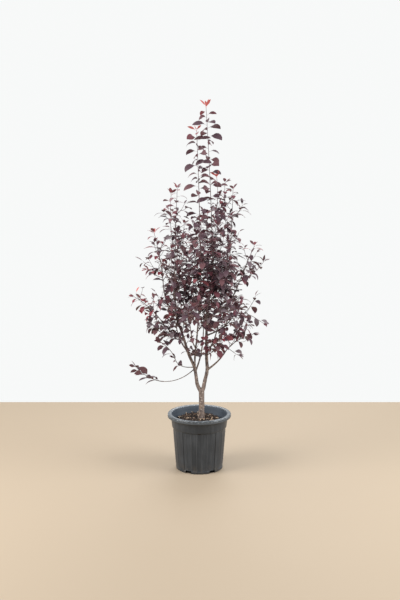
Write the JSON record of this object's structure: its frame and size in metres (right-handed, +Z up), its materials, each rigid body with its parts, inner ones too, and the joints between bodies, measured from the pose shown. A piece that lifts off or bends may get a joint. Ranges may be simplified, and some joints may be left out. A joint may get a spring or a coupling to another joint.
{
  "type": "potted cherry plum tree",
  "caption": "Young purple-leaved cherry plum tree with forked upright leaders and leafy shoots, growing in a round dark plastic nursery pot.",
  "frame": {"origin": "centre of the pot's flat underside", "axes": "+Z up along the trunk, +X to the right and -Y towards the viewer in the picture"},
  "size_m": [0.9055, 0.7287, 2.2786],
  "materials": {
    "pot_plastic": "scuffed satin dark grey plastic",
    "compost": "moist bark compost",
    "bark": "grey-brown bark with pale flecks",
    "young_bark": "smooth red-brown young bark",
    "foliage_purple": "dark purple leaves with a soft sheen",
    "foliage_red": "wine red leaves with a soft sheen"
  },
  "bodies": {
    "root": {"pot": "pot_plastic", "soil": "compost", "trunk": "bark", "left_leader": "bark", "right_leader": "bark", "middle_leader": "bark", "right_low_bough": "young_bark", "right_inner_bough": "young_bark", "back_bough": "young_bark", "left_mid_bough": "young_bark", "left_back_bough": "young_bark", "front_bough": "young_bark", "right_front_bough": "young_bark", "right_mid_bough": "young_bark", "far_left_bough": "young_bark", "far_right_bough": "young_bark", "upper_right_bough": "young_bark", "left_whip": "young_bark", "low_whip": "young_bark", "top_right_foliage": "foliage_purple", "top_left_foliage": "foliage_purple", "upper_left_foliage": "foliage_purple", "upper_right_foliage": "foliage_purple", "upper_front_foliage": "foliage_purple", "upper_back_foliage": "foliage_purple", "far_left_foliage": "foliage_purple", "far_right_foliage": "foliage_purple", "front_left_foliage": "foliage_purple", "front_right_foliage": "foliage_purple", "back_left_foliage": "foliage_purple", "back_right_foliage": "foliage_purple", "left_mid_foliage": "foliage_purple", "right_mid_foliage": "foliage_purple", "left_low_foliage": "foliage_purple", "right_low_foliage": "foliage_purple", "low_front_foliage": "foliage_purple", "low_right_front_foliage": "foliage_purple", "low_left_back_foliage": "foliage_purple", "low_back_foliage": "foliage_purple", "low_right_back_foliage": "foliage_purple", "inner_left_foliage": "foliage_purple", "inner_front_foliage": "foliage_purple", "inner_right_low_foliage": "foliage_purple", "inner_low_foliage": "foliage_purple", "whip_spray_foliage": "foliage_red", "low_whip_spray_foliage": "foliage_red"}
  },
  "joints": []
}
